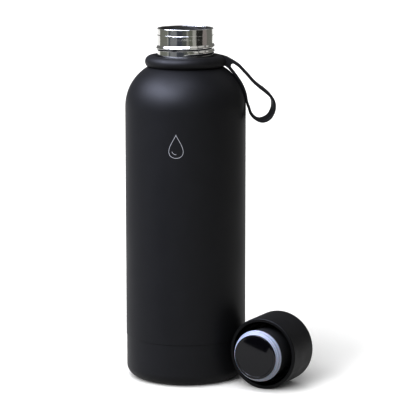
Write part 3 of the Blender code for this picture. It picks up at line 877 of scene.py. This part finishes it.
def make_cap_shell(material):
    top = -CAP_LENGTH
    outline = rounded(
        [
            (0, top),
            (CAP_RADIUS, top, 2.8 * MM),
            (CAP_RADIUS, 0, 0.7 * MM),
            (CAP_BORE, 0, 0.35 * MM),
            (CAP_BORE, CAP_CEILING, 0.4 * MM),
            (0, CAP_CEILING),
        ],
        closed=False,
        steps=10,
    )
    cap = turned("cap_skin", subdivided(outline, 3 * MM), closed=False)
    show_in_cap(cap, "cap", "matte_plastic", material, "cap_shell")


def insert_swell(angles, r, z):
    """The cap's thread, which stands inward from the insert's bore."""
    return thread_ridge(angles, z, **INSERT_THREAD) if abs(r - INSERT_BORE) < SAME_RADIUS else 0.0


def make_thread_insert(material):
    top = FLANGE_FOOT + GAP
    outline = rounded([(INSERT_BORE, top), (FLANGE_RADIUS, top), (FLANGE_RADIUS, INSERT_FOOT, 0.2 * MM)])
    outline += subdivided([(INSERT_BORE, INSERT_FOOT), (INSERT_BORE, top)], 0.15 * MM)[:-1]
    insert = turned("cap_thread", outline, SMALL_SEGMENTS, swell=insert_swell)
    show_in_cap(insert, "cap", "dark_plastic", material, "thread_insert")


def make_stopper(material):
    outline = rounded(
        [
            (PLUG_BORE, FLANGE_TOP),
            (FLANGE_RADIUS, FLANGE_TOP, 0.2 * MM),
            (FLANGE_RADIUS, FLANGE_FOOT, 0.2 * MM),
            (PLUG_RADIUS, FLANGE_FOOT, 0.8 * MM),
            (PLUG_RADIUS, PLUG_SHOULDER, 0.5 * MM),
            (PLUG_NOSE_RADIUS, PLUG_SHOULDER),
            (PLUG_NOSE_RADIUS, PLUG_NOSE, 0.1 * MM),
            (PLUG_BORE, PLUG_NOSE),
        ]
    )
    stopper = turned("plug_body", outline, SMALL_SEGMENTS)
    show_in_cap(stopper, "cap", "dark_plastic", material, "stopper_plug")


def make_gasket(material):
    """A soft ring with a wide lip near the plug's shoulder and a narrower one before the end disc."""
    low = PLUG_SHOULDER + GAP
    inner = PLUG_NOSE_RADIUS + GAP
    outline = rounded(
        [
            (inner, low),
            (15.45 * MM, low, 0.3 * MM),
            (15.7 * MM, low + 0.75 * MM, 0.3 * MM),
            (15.45 * MM, low + 1.6 * MM, 0.4 * MM),
            (14.9 * MM, low + 2.0 * MM, 0.3 * MM),
            (14.75 * MM, low + 2.7 * MM, 0.4 * MM),
            (13.9 * MM, low + 3.6 * MM, 0.5 * MM),
            (13.5 * MM, PLUG_NOSE, 0.2 * MM),
            (inner, PLUG_NOSE),
        ]
    )
    gasket = turned("gasket_ring", outline, SMALL_SEGMENTS)
    show_in_cap(gasket, "cap_seal", "pale_silicone", material, "plug_gasket")


def make_end_disc(material):
    """The plug's end: a slightly crowned disc with a bead round its edge."""
    low = PLUG_NOSE + GAP
    high = DISC_TOP
    crown = 0.45 * MM
    flat = 11.9 * MM
    face = [(flat * (1 - k / 12), high - crown * (1 - k / 12) ** 2 - 0.05 * MM) for k in range(13)]
    bead = [(DISC_RADIUS, high - 0.35 * MM, 0.45 * MM), (flat + 0.2 * MM, high - 0.3 * MM)]
    outline = [(0, low)] + rounded([(DISC_RADIUS, low), *bead], closed=False) + face
    disc = turned("plug_face", outline, SMALL_SEGMENTS, closed=False)
    show_in_cap(disc, "cap", "gloss_plastic", material, "plug_end_disc")


# ---------------------------------------------------------------- camera, floor and light


def make_camera():
    data = bpy.data.cameras.new("camera")
    data.sensor_width = CAMERA_SENSOR
    data.lens = CAMERA_LENS
    data.clip_start, data.clip_end = CAMERA_CLIP
    camera = bpy.data.objects.new("camera", data)
    camera.location = CAMERA_PLACE
    camera.rotation_euler = (radians(90 - CAMERA_TILT), 0, 0)
    bpy.context.scene.collection.objects.link(camera)
    bpy.context.scene.camera = camera


def make_floor():
    builder = bmesh.new()
    bmesh.ops.create_circle(builder, cap_ends=True, segments=128, radius=FLOOR_RADIUS)
    mesh = bpy.data.meshes.new("floor")
    builder.to_mesh(mesh)
    builder.free()
    floor = bpy.data.objects.new("floor", mesh)
    bpy.context.scene.collection.objects.link(floor)
    mesh.materials.append(floor_white())
    return floor


def toward(azimuth, elevation):
    """The unit direction at an azimuth and an elevation in degrees."""
    a, e = radians(azimuth), radians(elevation)
    return Vector((sin(a) * cos(e), -cos(a) * cos(e), sin(e)))


def aimed(data, place, target):
    """A lamp at a place, which shines towards a target."""
    lamp = bpy.data.objects.new(data.name, data)
    lamp.location = place
    lamp.rotation_euler = (Vector(target) - Vector(place)).to_track_quat("-Z", "Y").to_euler()
    bpy.context.scene.collection.objects.link(lamp)
    return lamp


def softbox(name, azimuth, elevation, size, radiance, colour, lit):
    """A square panel of light, which lights one collection only."""
    data = bpy.data.lights.new(name, "AREA")
    data.shape = "SQUARE"
    data.size = size
    data.energy = radiance * pi * size * size
    data.color = colour
    lamp = aimed(data, STUDIO_MIDDLE + SOFTBOX_DISTANCE * toward(azimuth, elevation), STUDIO_MIDDLE)
    lamp.light_linking.receiver_collection = lit


def sun(name, azimuth, elevation, spread, radiance, lit):
    """Even light from one side, whose brightness on the floor is about radiance."""
    data = bpy.data.lights.new(name, "SUN")
    data.energy = radiance * pi / sin(radians(elevation))
    data.angle = radians(spread)
    lamp = aimed(data, toward(azimuth, elevation), (0, 0, 0))
    lamp.light_linking.receiver_collection = lit


def reflected_only(panel, colour):
    """Makes a panel glow evenly, seen only in reflections."""
    glow = bpy.data.materials.new(panel.name)
    glow.use_nodes = True
    glow.node_tree.nodes.clear()
    emission = glow.node_tree.nodes.new("ShaderNodeEmission")
    emission.inputs["Color"].default_value = (*colour, 1)
    output = glow.node_tree.nodes.new("ShaderNodeOutputMaterial")
    glow.node_tree.links.new(emission.outputs["Emission"], output.inputs["Surface"])
    glow.cycles.emission_sampling = "NONE"
    panel.data.materials.append(glow)
    panel.visible_camera = panel.visible_diffuse = panel.visible_shadow = panel.visible_transmission = False


def card(name, start, end, colour):
    """A panel that stands round the object between two azimuths."""
    points = []
    steps = max(1, round((end - start) / CARD_STEP))
    for i in range(steps + 1):
        out = toward(start + (end - start) * i / steps, 0) * CARD_DISTANCE
        points += [out, out + Vector((0, 0, CARD_HEIGHT))]
    faces = [(2 * i, 2 * i + 2, 2 * i + 3, 2 * i + 1) for i in range(steps)]
    reflected_only(mesh_object(name, points, faces), colour)


def make_cards():
    for start, end, colour in CARDS:
        card(f"card_{start + 180}", start, end, colour)
    corners = [FLAG_FROM + distance * toward(azimuth, 0) for azimuth, distance in FLAG_CORNERS]
    reflected_only(mesh_object("flag", corners, [(0, 1, 2, 3)]), (0, 0, 0))


def collection_of(name, objects):
    found = bpy.data.collections.new(name)
    for obj in objects:
        found.objects.link(obj)
    return found


def make_light(floor):
    """The object and the floor have their own lamps, as two exposures of one studio would."""
    world = bpy.data.worlds.new("studio")
    world.use_nodes = True
    world.node_tree.nodes["Background"].inputs["Color"].default_value = (1, 1, 1, 1)
    world.node_tree.nodes["Background"].inputs["Strength"].default_value = WORLD_LIGHT
    scene = bpy.context.scene
    scene.world = world
    shown = [obj for obj in scene.objects if obj.type == "MESH" and obj != floor]
    on_object = collection_of("lit_object", shown)
    on_floor = collection_of("lit_floor", [floor])
    for i, (azimuth, elevation, size, radiance, colour) in enumerate(SOFTBOXES):
        softbox(f"softbox_{i}", azimuth, elevation, size, radiance, colour, on_object)
    for i, (azimuth, elevation, spread, radiance) in enumerate(FLOOR_SUNS):
        sun(f"floor_sun_{i}", azimuth, elevation, spread, radiance, on_floor)
    make_cards()
    scene.view_settings.view_transform = "Standard"
    scene.view_settings.gamma = STUDIO_GAMMA


def finish_hidden_nodes(steel):
    """Materials for the sealed pieces, which keep their CAD shapes."""
    looks = {
        "copper_foil": copper_foil(),
        "bottom_plate": steel,
        "vacuum_seal": seal_glass(),
        "getter": getter_alloy(),
        "getter_clip": steel,
        "foam_core": foam(),
    }
    for node, material in looks.items():
        slots = frame["nodes"][node].data.materials
        slots.clear()
        slots.append(material)


def make_bottle():
    coat = powder_coat()
    liner = liner_steel()
    make_outer_shell(coat)
    make_base_cup(coat)
    make_base_pad(rubber())
    make_neck(bare_steel())
    make_liner(liner)
    make_mark(engraved_steel())
    make_collar_and_loop(silicone())
    finish_hidden_nodes(liner)


def make_cap():
    dark = inner_plastic()
    make_cap_shell(cap_plastic())
    make_thread_insert(dark)
    make_stopper(dark)
    make_gasket(pale_silicone())
    make_end_disc(gloss_plastic())


make_camera()
make_bottle()
make_cap()
make_light(make_floor())
